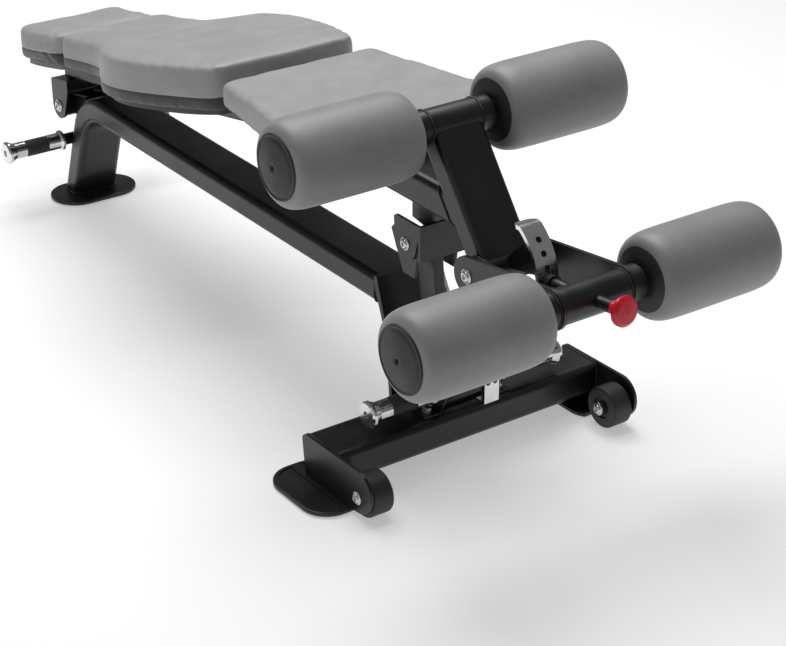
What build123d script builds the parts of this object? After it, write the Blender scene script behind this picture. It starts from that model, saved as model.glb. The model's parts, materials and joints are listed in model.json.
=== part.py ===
from build123d import *

# Adjustable decline bench: a tilting pad frame on a wheeled base, with two pairs of foam rollers.
# Millimetres, +Z up, the rollers at -Y, the head end at +Y, X across.
# Origin: on the floor, under the middle of the whole bench.

import os
from math import atan, atan2, cos, degrees, radians, sin, tan

os.makedirs("parts", exist_ok=True)

# ---- driving dimensions -------------------------------------------------------------
WALL = 3.0                      # frame tube wall
PLATE = 6.0                     # bracket plate

LOWER_AXIS = (-820.0, 415.0)    # lower roller axis (y, z)
UPPER_AXIS = (-455.0, 589.0)    # upper roller axis
ARM_PIVOT = (-607.5, 388.0)     # swing arm pivot
TILT_PIVOT = (867.0, 209.0)     # pad frame pivot, head end
REST_BOLT = (-410.0, 366.0)     # cross bolt of the front bracket
WHEEL_AXIS = (-598.0, 40.0)
RELEASE_AXIS = (-505.5, 126.0)
LEVER_PIVOT = (-400.0, 318.0)   # release lever pin on the post
LATCH_ROOT = (-453.0, 240.0)    # root of the tooth that locks the lift column
LIFT_AXIS = (856.0, 134.0)

ROLLER_R = 75.0
ROLLER_LEN = 248.0
ROLLER_CORE_R = 20.0
ROLLER_CAP_R = 55.0
LOWER_INNER = 109.0             # |x| of the lower rollers' inner end
UPPER_INNER = 87.0
CROSS_R = 30.0                  # cross tubes that hold the roller axles
AXLE_R = 14.0

BEAM_W = 100.0                  # main beam and seat tube width
BEAM_H = 53.0
BEAM_TOP = 265.0
BEAM_FRONT = -313.0
BEAM_CORNER = 776.0             # y where the beam and rear leg centre lines meet
LEG_FOOT = 861.0                # y of the leg centre line at the floor
BEND_R = 100.0

PAD_H = 3.0                     # rubber pads under the feet
FOOT_TOP = 10.0
FOOT_X = 286.0
FOOT_Y = -489.0
FOOT_SIZE = (122.0, 176.0)
FRONT_PADS = [(325, -530), (325, -442), (247, -442)]
REAR_PAD = (66, 845)

BASE_Y = (-535.0, -435.0)
BASE_Z = (27.0, 87.0)
BASE_HALF = 279.0
WHEEL_R = 38.0
WHEEL_W = 40.0
WHEEL_GAP = 3.0                 # between wheel and end plate
WHEEL_HUB_R = 20.0
WHEEL_BOLT_R = 6.0

BAR_R = 12.5                    # lift bar and release bar
GRIP_R = 17.0

SEAT_Z = (440.0, 500.0)         # seat tube, bottom and top
SEAT_END = 30.0
BACK_TUBE_END = 860.0
UPRIGHT_D = 50.0
SLEEVE_R = 25.0
TILT_BOLT_R = 8.0
REST_BOLT_R = 6.0
ARM_BOLT_R = 8.0
PIVOT_SLEEVE_R = 27.0
BRACKET_X = (49.0, 55.0)        # front bracket cheeks
CHEEK_X = (51.0, 57.0)          # rear bracket cheeks
ARM_X = (68.0, 75.0)            # swing arm plates
EAR_X = (38.0, 44.0)            # ears of the column head
LEVER_X = (14.0, 20.0)

POST_W = 22.0
POST_D = 50.0
POST_WALL = 2.5
POST_LOW = 95.0
POST_TOP = 338.0
POST_SET = 8.0                  # post centre line behind the cross bolt
COLUMN_W = 16.0
COLUMN_D = 44.0
YOKE_Z = (348.0, 355.0)
LATCH_PITCH = 37.5
LATCH_R = 5.0
LEVER_PIN_R = 5.0

SECTOR_R = 111.0                # inner radius of the perforated strip
SECTOR_T = 7.0
SECTOR_W = 42.0
BEND = 18.0                     # outer radius of the bend at the strip's top
SECTOR_SPAN = 46.0              # degrees of strip above the first hole
HOLE_PITCH = 11.5               # degrees between the arm positions
PIN_R = 5.0
KNOB_BASE = 62.0                # knob's inner face beyond the lower roller axis

FIT = 0.05                      # radial running clearance
GAP = 0.4                       # clearance between bodies that pass each other

PAD_SLOPE = 0.184               # rise of the back pad towards the seat
BACK_TUBE_H = 40.0
PAD_BASE = (907.0, 319.0)       # its underside at the head end (y, z)
BOARD_T = 12.0
SCREW_R = 3.0
STRAP_T = 4.0
STRAP_Y = [130.0, 400.0, 620.0, 790.0]
BACK_T = 87.0
NECK_T = 70.0
HEAD_T = 67.0
SEAT_UNDER = 509.0
SEAT_TOP = (564.0, 551.0)       # seat height at the roller end and at the back pad
SEAT_PLAN = [(-368, 210), (-300, 212), (-235, 203), (-120, 184), (4, 166)]
BACK_PLAN = [(34, 152), (110, 178), (220, 205), (330, 212), (420, 186), (480, 152), (540, 135),
             (630, 128), (716, 124)]
HEAD_PLAN = [(719, 115), (780, 121), (850, 124), (915, 119)]

ARM_ANGLE = degrees(atan2(LOWER_AXIS[1] - ARM_PIVOT[1], LOWER_AXIS[0] - ARM_PIVOT[0]))
LATCH_ANGLE = degrees(atan2(LEVER_PIVOT[1] - LATCH_ROOT[1], LEVER_PIVOT[0] - LATCH_ROOT[0])) - 90
ARM_REACH = (ARM_PIVOT[0] - LOWER_AXIS[0]) / -cos(radians(ARM_ANGLE))
ARC_LEAN = atan2(REST_BOLT[1] - TILT_PIVOT[1], TILT_PIVOT[0] - REST_BOLT[0])
GUIDE_BOLT = Pos(76, RELEASE_AXIS[0] + 2, BASE_Z[1] - 1)
BACK_TUBE_RISE = BACK_TUBE_H / cos(atan(PAD_SLOPE))

written = []


# ---- helpers ------------------------------------------------------------------------
def save(name, *solids):
    """Write one node: a single solid, or a group of separate identical ones."""
    shape = solids[0] if len(solids) == 1 else Compound(children=list(solids))
    export_step(shape, f"parts/{name}.step")
    written.append(name)


def block(x, y, z):
    """Box between (low, high) pairs."""
    size = Box(x[1] - x[0], y[1] - y[0], z[1] - z[0])
    return Pos((x[0] + x[1]) / 2, (y[0] + y[1]) / 2, (z[0] + z[1]) / 2) * size


def rod(radius, x, centre):
    """Cylinder along X between x[0] and x[1], round centre = (y, z)."""
    solid = Rot(0, 90, 0) * Cylinder(radius, x[1] - x[0])
    return Pos((x[0] + x[1]) / 2, centre[0], centre[1]) * solid


def pipe(outer, inner, x, centre):
    return rod(outer, x, centre) - rod(inner, (x[0] - 1, x[1] + 1), centre)


def slab(outline, x):
    """Plate of a (y, z) outline, between x[0] and x[1]."""
    face = make_face(Polyline(*[(p[0], p[1]) for p in outline], close=True))
    return extrude(Plane.YZ.offset(x[0]) * face, x[1] - x[0])


def link(circles, x):
    """Plate hull round several (y, z, radius) circles."""
    edges = [e for y, z, r in circles for e in (Pos(y, z) * Circle(r)).edges()]
    return extrude(Plane.YZ.offset(x[0]) * make_hull(edges), x[1] - x[0])


def mirrored(solid):
    return mirror(solid, Plane.YZ)


def along(start, angle, distance):
    """Point at a distance from start, at an angle in the YZ plane from +Y."""
    return (start[0] + distance * cos(radians(angle)), start[1] + distance * sin(radians(angle)))


def bar(start, end, width, height, radius):
    """Rounded solid bar between two (y, z) points."""
    a = Vector(0, *start)
    b = Vector(0, *end)
    plane = Plane(origin=a, x_dir=(1, 0, 0), z_dir=b - a)
    return extrude(plane * RectangleRounded(width, height, radius), (b - a).length)


def box_tube(start, end, width, height, wall, radius):
    """Rounded box tube between two (y, z) points, open at both ends."""
    inner = bar(start, end, width - 2 * wall, height - 2 * wall, radius - wall)
    return bar(start, end, width, height, radius) - inner


def spun(profile, centre):
    """Revolve an (x, r) profile about the X line through centre."""
    face = make_face(Polyline(*profile, close=True))
    solid = revolve(face, Axis.X)
    return Pos(0, centre[0], centre[1]) * solid


def bolt(x, centre, radius, head, head_h):
    """Cross bolt along X with a domed head and a dome nut."""
    shank = rod(radius, x, centre)
    caps = []
    for end, sign in ((x[0], -1), (x[1], 1)):
        top = end + sign * head_h
        low, high = min(end, top), max(end, top)
        cap = rod(head, (low, high), centre)
        cap = fillet(cap.edges().filter_by(GeomType.CIRCLE).sort_by(Axis.X)[0 if sign < 0 else -1],
                     head_h * 0.6)
        caps.append(cap)
    return shank + caps[0] + caps[1]


# ---- base ---------------------------------------------------------------------------
def beam_solid(inset, radius):
    mid = BEAM_TOP - BEAM_H / 2
    path = FilletPolyline((0, BEAM_FRONT, mid), (0, BEAM_CORNER, mid), (0, LEG_FOOT, 0), radius=BEND_R)
    plane = Plane(origin=(0, BEAM_FRONT, mid), x_dir=(1, 0, 0), z_dir=(0, 1, 0))
    section = RectangleRounded(BEAM_W - 2 * inset, BEAM_H - 2 * inset, radius)
    return sweep(plane * section, path=path)


def main_beam():
    beam = beam_solid(0, 14) - beam_solid(WALL, 11)
    return beam - block((-80, 80), (700, 1000), (-50, FOOT_TOP))


def foot_plate(width, depth, corner, centre):
    """Flat foot with eased top edges, its underside on the rubber pads."""
    foot = extrude(RectangleRounded(width, depth, corner), FOOT_TOP - PAD_H)
    foot = fillet(foot.edges().group_by(Axis.Z)[-1], 2.5)
    return Pos(centre[0], centre[1], PAD_H) * foot


def front_foot(side):
    """Foot of one end plate, notched for the wheel, with a shallow pan in its top."""
    centre = (side * FOOT_X, FOOT_Y)
    pan = Pos(*centre, FOOT_TOP - 2) * extrude(RectangleRounded(FOOT_SIZE[0] - 16, FOOT_SIZE[1] - 16, 42), 5)
    web = block(sorted((side * (BASE_HALF - 8), side * (BASE_HALF + 14))), (-700, -300), (0, 20))
    foot = foot_plate(*FOOT_SIZE, 50, centre) - (pan - web)
    notch = sorted((side * (BASE_HALF - WHEEL_W - 14), side * BASE_HALF))
    return foot - block(notch, (-600, WHEEL_AXIS[0] + WHEEL_R + 3), (0, 20))


def foot_pads(places):
    return [Pos(x, y, PAD_H / 2) * Cylinder(14, PAD_H) for x, y in places]


def tilt_sleeve():
    """Sleeve for the tilt bolt, carried by two lugs behind the bend of the beam."""
    sleeve = pipe(SLEEVE_R, TILT_BOLT_R + FIT, (-50, 50), TILT_PIVOT)
    beam = beam_solid(0, 14)
    for x in (-28, 20):
        lug = link([(*TILT_PIVOT, 20), (800, 236, 6), (808, 196, 6)], (x, x + 8))
        sleeve += lug - rod(SLEEVE_R - 1, (-50, 50), TILT_PIVOT) - beam
    return sleeve


def grip_bar(centre, half):
    """Transverse handle bar: tube, then one grip, collar and flanged cap of its +X end."""
    tube = pipe(BAR_R, BAR_R - WALL, (20 - half, half - 20), centre)
    grip = pipe(GRIP_R, BAR_R, (half - 96, half - 44), centre)
    collar = spun([(half - 133, BAR_R), (half - 133, 22), (half - 128, 22), (half - 124, GRIP_R + 1),
                   (half - 96, GRIP_R + 1), (half - 96, BAR_R)], centre)
    cap = spun([(half - 44, BAR_R), (half - 44, GRIP_R + 1), (half - 20, GRIP_R + 1), (half - 8, 24),
                (half - 3, 24), (half, 21), (half, 7), (half - 7, 7), (half - 7, 0), (half - 20, 0),
                (half - 20, BAR_R)], centre)
    return tube, grip, collar, cap


def save_bar(name, centre, half):
    tube, grip, collar, cap = grip_bar(centre, half)
    save(name, tube)
    save(f"{name}_grips", grip, mirrored(grip))
    save(f"{name}_caps", collar, mirrored(collar), cap, mirrored(cap))


def front_plate():
    """Bent plate that closes the beam and carries it down to the base tube."""
    return slab([(BEAM_FRONT, 267), (BEAM_FRONT - 8, 267), (-352, 172), (-368, 44), (BASE_Y[1], 44),
                 (BASE_Y[1], 36), (-360, 36), (-344, 172), (BEAM_FRONT, 250)], (-52, 52))


def base_tube():
    depth = BASE_Y[1] - BASE_Y[0]
    height = BASE_Z[1] - BASE_Z[0]
    middle = ((BASE_Y[0] + BASE_Y[1]) / 2, (BASE_Z[0] + BASE_Z[1]) / 2)
    section = RectangleRounded(depth, height, 14)
    section -= RectangleRounded(depth - 2 * WALL, height - 2 * WALL, 11)
    tube = extrude(Plane.YZ.offset(-BASE_HALF) * Pos(*middle) * section, 2 * BASE_HALF)
    for bolt_place in (GUIDE_BOLT, Pos(-2 * GUIDE_BOLT.position.X, 0, 0) * GUIDE_BOLT):
        tube -= bolt_place * Cylinder(4.1, 20)
    return tube


def end_plate(side):
    x = sorted((side * BASE_HALF, side * (BASE_HALF + PLATE)))
    y, z = WHEEL_AXIS
    plate = link([(-447, 76, 12), (-447, 15, 15 - FOOT_TOP), (y + 20, 18, 18 - FOOT_TOP), (y, 52, 39)], x)
    return plate - rod(WHEEL_BOLT_R, (-400, 400), WHEEL_AXIS)


def transport_wheel(side):
    outer = BASE_HALF - WHEEL_GAP
    inner = outer - WHEEL_W
    wheel = pipe(WHEEL_R, WHEEL_HUB_R, (inner, outer), WHEEL_AXIS)
    rims = wheel.edges().filter_by(GeomType.CIRCLE).filter_by(lambda e: e.radius > WHEEL_R - 1)
    wheel = fillet(rims, 4)
    hub = spun([(inner - 1, WHEEL_BOLT_R + FIT), (inner - 1, 12), (inner + 3, 13), (inner + 3, WHEEL_HUB_R),
                (outer - 3, WHEEL_HUB_R), (outer - 3, 13), (outer + 1, 12), (outer + 1, WHEEL_BOLT_R + FIT)],
               WHEEL_AXIS)
    if side < 0:
        return mirrored(wheel), mirrored(hub)
    return wheel, hub


def wheel_bolt(side):
    """Shouldered axle bolt through the end plate, with washers each side of the wheel."""
    inner = BASE_HALF - WHEEL_GAP - WHEEL_W
    pin = bolt((inner - 6, BASE_HALF + PLATE), WHEEL_AXIS, WHEEL_BOLT_R, 10, 6)
    pin += rod(11, (inner - 6, inner - 1.3), WHEEL_AXIS) + rod(11, (BASE_HALF - 1.7, BASE_HALF), WHEEL_AXIS)
    return mirrored(pin) if side < 0 else pin


# ---- lift column and release --------------------------------------------------------
def post_y(z):
    """Centre of the leaning post at height z."""
    return REST_BOLT[0] + POST_SET + (z - REST_BOLT[1]) * tan(ARC_LEAN)


def leaning_bar(width, depth, radius):
    """Solid bar along the arc of the front bracket, longer than the post at both ends."""
    return bar((post_y(50), 50), (post_y(450), 450), width, depth, radius)


def leaning_tube(width, depth, wall, low, high):
    """Box tube along the arc of the front bracket, with level ends."""
    tube = leaning_bar(width, depth, wall + 1) - leaning_bar(width - 2 * wall, depth - 2 * wall, 1)
    return tube & block((-60, 60), (-700, -200), (low, high))


def latch_bore(radius, start, end):
    """Cylinder along the latch tooth's path, between two distances from the tooth's root."""
    middle = along(LATCH_ROOT, LATCH_ANGLE, (start + end) / 2)
    return Pos(0, *middle) * Rot(LATCH_ANGLE - 90, 0, 0) * Cylinder(radius, end - start)


def post():
    """Leaning post welded to its bolted foot."""
    tube = leaning_tube(POST_W, POST_D, POST_WALL, POST_LOW - 1, POST_TOP)
    tube -= latch_bore(LATCH_R + 0.5, 0, 20)
    foot = block((-45, 45), (-505, -404), (BASE_Z[1], POST_LOW))
    foot = fillet(foot.edges().filter_by(Axis.Z), 8)
    return foot + tube - rod(LEVER_PIN_R, (0, 40), LEVER_PIVOT)


def post_bush():
    """Plastic cap that guides the column at the top of the post."""
    cap = block((-15, 15), (post_y(POST_TOP) - 29, post_y(POST_TOP) + 29), (POST_TOP, POST_TOP + 5))
    return cap - leaning_bar(COLUMN_W + 2 * GAP, COLUMN_D + 2 * GAP, 3.9)


def lift_column():
    """Inner column with a row of latch holes down its front wall."""
    tube = leaning_tube(COLUMN_W, COLUMN_D, POST_WALL, POST_LOW + 6, YOKE_Z[0])
    for step in range(5):
        drop = step * LATCH_PITCH
        hole = latch_bore(LATCH_R + 0.5, 0, 24)
        tube -= Pos(0, -drop * sin(ARC_LEAN), -drop * cos(ARC_LEAN)) * hole
    return tube + column_yoke()


def column_yoke():
    """Head of the column: a bridge and two flared ears, slotted for the cross bolt."""
    bridge = block((-EAR_X[1], EAR_X[1]), (-430, -374), YOKE_Z)
    ear = slab([(-354, 373), (-360, 380), (-396, 388), (-424, 386), (-430, 376), (-430, 350),
                (-422, 302), (-389, 302)], EAR_X)
    y, z = REST_BOLT
    travel = Vector(0, cos(ARC_LEAN), -sin(ARC_LEAN)) * 9.5
    slot = link([(y, z, REST_BOLT_R + 1), (y + travel.Y, z + travel.Z, REST_BOLT_R + 1)], (30, 60))
    ear -= slot
    return bridge + ear + mirrored(ear)


def release_lever():
    """Flat lever beside the post: grip bar at its foot, pivot at its head, latch tooth between."""
    lever = link([(*RELEASE_AXIS, 8), (*LEVER_PIVOT, 8)], LEVER_X)
    lever += link([(*LATCH_ROOT, 7), (-441, 243, 7)], LEVER_X)
    lever += pipe(BAR_R + 4, BAR_R, (LEVER_X[0] - 3, LEVER_X[1] + 3), RELEASE_AXIS)
    lever += rod(7, (-9, LEVER_X[0]), LATCH_ROOT)
    lever += latch_bore(LATCH_R, 0, 30) - leaning_bar(60, COLUMN_D + 2 * GAP, 1)
    lever = lever.solids().sort_by(Axis.Y)[0]
    return lever - rod(BAR_R, (-60, 60), RELEASE_AXIS) - rod(LEVER_PIN_R + FIT, (0, 60), LEVER_PIVOT)


def lever_pin():
    """Shouldered pin that carries the lever on the post's side wall."""
    shank = rod(LEVER_PIN_R, (POST_W / 2 - POST_WALL, LEVER_X[1] + 1), LEVER_PIVOT)
    spacer = rod(8, (POST_W / 2, LEVER_X[0] - GAP), LEVER_PIVOT)
    return shank + spacer + rod(9, (LEVER_X[1] + GAP, LEVER_X[1] + 5), LEVER_PIVOT)


def release_guide():
    """Slotted angle bracket on the base tube that guides the release bar."""
    y, z = RELEASE_AXIS
    web = link([(y - 4, z + 3, 26), (y - 12, 92, 3), (y + 16, 92, 3)], (56, 60))
    web -= link([(y, z, BAR_R + 1), (y - 13, z + 7, BAR_R + 1)], (50, 70))
    foot = block((56, 92), (y - 15, y + 19), (BASE_Z[1], BASE_Z[1] + 4))
    return web + foot - GUIDE_BOLT * Cylinder(4.1, 30)


def guide_bolt():
    head = Pos(0, 0, 7) * extrude(RegularPolygon(8, 6), 6)
    washer = Pos(0, 0, 6.5) * Cylinder(9, 3)
    return GUIDE_BOLT * (fillet(head.edges().group_by(Axis.Z)[-1], 1) + washer + Pos(0, 0, 2) * Cylinder(4, 8))


def stop_plate():
    """Plated angle with two holes that limits the release bar's travel."""
    y = RELEASE_AXIS[0] - 26
    plate = block((24, 55), (y - 4, y), (BASE_Z[1], 144)) + block((24, 55), (y - 4, y + 20), (BASE_Z[1], 90))
    plate = fillet(plate.edges().filter_by(Axis.Y).group_by(Axis.Z)[-1], 8)
    for x in (32, 47):
        plate -= Pos(x, y, 126) * Rot(90, 0, 0) * Cylinder(5, 20)
    return plate


# ---- tilting frame ------------------------------------------------------------------
def seat_tube():
    section = RectangleRounded(BEAM_W, SEAT_Z[1] - SEAT_Z[0], 14)
    section -= RectangleRounded(BEAM_W - 2 * WALL, SEAT_Z[1] - SEAT_Z[0] - 2 * WALL, 11)
    plane = Plane(origin=(0, -640, (SEAT_Z[0] + SEAT_Z[1]) / 2), x_dir=(1, 0, 0), z_dir=(0, 1, 0))
    tube = extrude(plane * section, 640 + SEAT_END) - upright_solid(0, 12, 0, 0)
    return tube.solids().sort_by(Axis.Y)[-1]


def upright_solid(inset, radius, low, high):
    direction = degrees(atan2(UPPER_AXIS[1] - ARM_PIVOT[1], UPPER_AXIS[0] - ARM_PIVOT[0]))
    start = along(ARM_PIVOT, direction, low)
    end = along(UPPER_AXIS, direction, high)
    return bar(start, end, BEAM_W - 2 * inset, UPRIGHT_D - 2 * inset, radius)


def upright():
    tube = upright_solid(0, 12, 8, -2) - upright_solid(WALL, 9, 0, 10)
    tube -= rod(PIVOT_SLEEVE_R, (-90, 90), ARM_PIVOT)
    return tube - rod(CROSS_R, (-90, 90), UPPER_AXIS)


def back_tube():
    drop = BOARD_T + STRAP_T + BACK_TUBE_RISE / 2
    tube = box_tube((-40, pad_z(-40) - drop), (900, pad_z(900) - drop), 80, BACK_TUBE_H, WALL, 8)
    return tube & block((-60, 60), (SEAT_END, BACK_TUBE_END), (0, 700))


def cross_tube(inner, centre):
    """Cross tube with stepped ends, welded round the axle tube of its two rollers."""
    half = inner - 9
    tube = spun([(-half, AXLE_R), (-half, CROSS_R - 3), (3 - half, CROSS_R), (half - 3, CROSS_R),
                 (half, CROSS_R - 3), (half, AXLE_R), (half - 5, AXLE_R), (half - 5, CROSS_R - WALL),
                 (5 - half, CROSS_R - WALL), (5 - half, AXLE_R)], centre)
    end = inner + ROLLER_LEN - 12
    return tube + pipe(AXLE_R, AXLE_R - WALL, (-end, end), centre)


def front_bracket():
    """Open-topped U bracket under the seat tube; its cheeks hold the cross bolt."""
    y, z = REST_BOLT
    cheek = link([(y, z, 30), (y - 36, z + 38, 6), (y + 27, z + 38, 6)], BRACKET_X)
    cheek -= rod(REST_BOLT_R, (-90, 90), REST_BOLT)
    wall = block((-BRACKET_X[1], BRACKET_X[1]), (y - 43, y - 37), (z - 21, z + 45))
    gusset = slab([(y - 39, SEAT_Z[0]), (y + 20, SEAT_Z[0]), (y + 20, z + 36), (y - 31, z + 28),
                   (y - 31, z - 16), (y - 39, z - 16)], (20, 26))
    return wall + cheek + mirrored(cheek) + gusset + mirrored(gusset)


def rear_bracket():
    y, z = TILT_PIVOT
    under = BOARD_T + STRAP_T + BACK_TUBE_RISE + 0.1
    low, high = y - 44, y + 29
    cheek = slab([(low, pad_z(low) - under), (high, pad_z(high) - under), (high, z), (low, z)], CHEEK_X)
    cheek = link([(y, z, 28), (low + 4, z + 44, 4), (high - 4, z + 40, 4)], CHEEK_X) + \
        (cheek & block((40, 70), (low, high), (z + 40, 400)))
    cheek -= rod(TILT_BOLT_R, (-90, 90), TILT_PIVOT)
    top = slab([(low, pad_z(low) - under), (high, pad_z(high) - under), (high, pad_z(high) - under - PLATE),
                (low, pad_z(low) - under - PLATE)], (-CHEEK_X[1], CHEEK_X[1]))
    wall = block((-CHEEK_X[1], CHEEK_X[1]), (low, low + PLATE), (z + 44, pad_z(low) - under - 1))
    return top + wall + cheek + mirrored(cheek)


def pivot_sleeve():
    """Sleeve of the arm bolt with a collar at each end."""
    half = ARM_X[0] - GAP
    return spun([(-half, ARM_BOLT_R + FIT), (-half, PIVOT_SLEEVE_R - 3), (12 - half, PIVOT_SLEEVE_R - 3),
                 (12 - half, PIVOT_SLEEVE_R), (half - 12, PIVOT_SLEEVE_R), (half - 12, PIVOT_SLEEVE_R - 3),
                 (half, PIVOT_SLEEVE_R - 3), (half, ARM_BOLT_R + FIT)], ARM_PIVOT)


def ring_sector(inner, outer, low, high, x, centre=ARM_PIVOT):
    """Part of a ring round a point, between two angles from +Y."""
    ring = pipe(outer, inner, x, centre)
    corners = [centre] + [along(centre, a, 300) for a in (low, (low + high) / 2, high)]
    return ring & slab(corners, (x[0] - 1, x[1] + 1))


def sector_strip():
    """Perforated strip, its top end bent back."""
    low, high = ARM_ANGLE - SECTOR_SPAN, ARM_ANGLE + 8
    half = SECTOR_W / 2
    strip = ring_sector(SECTOR_R, SECTOR_R + SECTOR_T, low, high, (-half, half))
    hub = along(ARM_PIVOT, low, SECTOR_R + SECTOR_T - BEND)
    turn = low - 50
    strip += ring_sector(BEND - SECTOR_T, BEND, turn, low, (-half, half), hub)
    lip = [along(along(hub, turn, r), turn - 90, d) for r, d in
           ((BEND - SECTOR_T, 0), (BEND, 0), (BEND, 14), (BEND - SECTOR_T, 14))]
    strip += slab(lip, (-half, half))
    tip = along(along(hub, turn, BEND - SECTOR_T / 2), turn - 90, 14)
    corners = strip.edges().filter_by(lambda e: abs(abs(e.center().X) - half) < 0.1 and
                                      (e.center() - Vector(e.center().X, *tip)).length < 1)
    strip = fillet(corners, 15)
    for step in range(4):
        angle = ARM_ANGLE - step * HOLE_PITCH
        strip -= radial(PIN_R + 0.4, SECTOR_R - 10, SECTOR_R + 20, angle)
    return strip


def radial(radius, start, end, angle):
    """Cylinder pointing away from the arm pivot, between two distances."""
    middle = along(ARM_PIVOT, angle, (start + end) / 2)
    return Pos(0, *middle) * Rot(angle - 90, 0, 0) * Cylinder(radius, end - start)


def sector_web():
    """Gusset between the pivot sleeve and the strip."""
    low, high = ARM_ANGLE - SECTOR_SPAN + 6, ARM_ANGLE - 4
    corners = [along(ARM_PIVOT, high, PIVOT_SLEEVE_R - 5), along(ARM_PIVOT, high, SECTOR_R + 3),
               along(ARM_PIVOT, (low + high) / 2, SECTOR_R + 6), along(ARM_PIVOT, low, SECTOR_R + 3),
               along(ARM_PIVOT, low - 8, PIVOT_SLEEVE_R - 5)]
    web = slab(corners, (-5, 5)) - rod(PIVOT_SLEEVE_R, (-9, 9), ARM_PIVOT)
    web -= pipe(SECTOR_R + 40, SECTOR_R, (-9, 9), ARM_PIVOT)
    return web - upright_solid(0, 12, 8, -2)


# ---- swing arm ----------------------------------------------------------------------
def arm_plate(side):
    plate = link([(*ARM_PIVOT, 34), (*LOWER_AXIS, CROSS_R + 4)], ARM_X)
    plate -= rod(ARM_BOLT_R + FIT, (0, 90), ARM_PIVOT)
    plate -= rod(CROSS_R, (0, 90), LOWER_AXIS)
    return mirrored(plate) if side < 0 else plate


def plunger_sleeves():
    """Guide sleeves on both sides of the cross tube, the inner one with a square nose."""
    reach = SECTOR_R + SECTOR_T + GAP
    back = radial(11, reach, ARM_REACH - 20, ARM_ANGLE) + radial(15, reach, reach + 14, ARM_ANGLE)
    front = radial(11, ARM_REACH + 20, ARM_REACH + KNOB_BASE, ARM_ANGLE)
    bore = radial(PIN_R + FIT, reach - 20, ARM_REACH + 90, ARM_ANGLE)
    tube = rod(CROSS_R, (-40, 40), LOWER_AXIS)
    return back - tube - bore, front - tube - bore


def plunger():
    pin = radial(PIN_R, SECTOR_R + SECTOR_T + GAP, ARM_REACH + KNOB_BASE + 14, ARM_ANGLE)
    profile = Polyline((PIN_R, 0.5), (12, 0.5), (12, 14), (15, 19), (25, 21), (25, 26), (19, 32), (0, 34),
                       (0, 14), (PIN_R, 14), close=True)
    knob = revolve(Plane.XZ * make_face(profile), Axis.Z)
    knob = Pos(0, *along(ARM_PIVOT, ARM_ANGLE, ARM_REACH + KNOB_BASE)) * Rot(ARM_ANGLE - 90, 0, 0) * knob
    return pin, knob


# ---- rollers ------------------------------------------------------------------------
def roller(inner, centre, side):
    """Foam, core with its inner disc, and the domed outer cap of one roller."""
    outer = inner + ROLLER_LEN
    foam = pipe(ROLLER_R, ROLLER_CORE_R, (inner, outer), centre)
    ends = foam.edges().filter_by(GeomType.CIRCLE).filter_by(lambda e: e.radius > ROLLER_R - 1)
    foam = fillet(ends, 14)
    foam -= rod(ROLLER_CAP_R, (inner - 1, inner + 4), centre) + rod(ROLLER_CAP_R, (outer - 4, outer + 1), centre)
    core = spun([(inner - 3, AXLE_R + FIT), (inner - 3, 40), (inner, ROLLER_CAP_R), (inner + 4, ROLLER_CAP_R),
                 (inner + 4, ROLLER_CORE_R), (outer - 4, ROLLER_CORE_R), (outer - 4, AXLE_R + FIT)], centre)
    cap = spun([(outer - 4, 2.5), (outer - 4, ROLLER_CAP_R), (outer, ROLLER_CAP_R), (outer + 4, 48),
                (outer + 7, 34), (outer + 8, 18), (outer + 8, 2.5)], centre)
    parts = (foam, core, cap)
    return [mirrored(p) for p in parts] if side < 0 else parts


# ---- pads ---------------------------------------------------------------------------
def pad_z(y):
    """Height of the back pad's underside."""
    return PAD_BASE[1] + (PAD_BASE[0] - y) * PAD_SLOPE


def outline_face(half_widths, inset=0):
    """Symmetrical plan from (y, half width) points, a spline along each side."""
    first, last = half_widths[0][0], half_widths[-1][0]
    shrunk = [(w - inset, min(max(y, first + inset), last - inset)) for y, w in half_widths]
    left = [(-w, y) for w, y in reversed(shrunk)]
    edges = [Spline(*shrunk), Line(shrunk[-1], left[0]), Spline(*left), Line(left[-1], shrunk[0])]
    return make_face(edges)


def cut_pad(half_widths, profile, corner, inset=0):
    """Upright prism of a plan, cut to a side profile of (y, z) points."""
    prism = extrude(outline_face(half_widths, inset), 800)
    prism = fillet(prism.edges().filter_by(Axis.Z), corner)
    return prism & slab(profile, (-300, 300))


def layer(y0, y1, under, over):
    """Side profile between two heights over the back pad's underside."""
    return [(y0, pad_z(y0) + under), (y1, pad_z(y1) + under), (y1, pad_z(y1) + over), (y0, pad_z(y0) + over)]


def back_profile():
    """The back pad is thinner at the neck and fuller where the trunk lies."""
    y0, y1 = BACK_PLAN[0][0] - 5, BACK_PLAN[-1][0] + 5
    return [(y0, pad_z(y0)), (y1, pad_z(y1)), (y1, pad_z(y1) + NECK_T), (530, pad_z(530) + NECK_T),
            (400, pad_z(400) + BACK_T), (y0, pad_z(y0) + BACK_T)]


def seat_profile():
    y0, y1 = SEAT_PLAN[0][0] - 5, SEAT_PLAN[-1][0] + 5
    return [(y0, SEAT_UNDER), (y1, SEAT_UNDER), (y1, SEAT_TOP[1]), (y0, SEAT_TOP[0])]


def board(half_widths, profile, inset):
    """Plywood board under a pad, inset from its edge, with pilot holes for the strap screws."""
    solid = cut_pad(half_widths, profile, 20, inset)
    for y in STRAP_Y:
        for x in (-68, 68):
            solid -= Pos(x, y, pad_z(y) - BOARD_T) * Cylinder(SCREW_R + 0.1, 9)
    return solid


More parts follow.
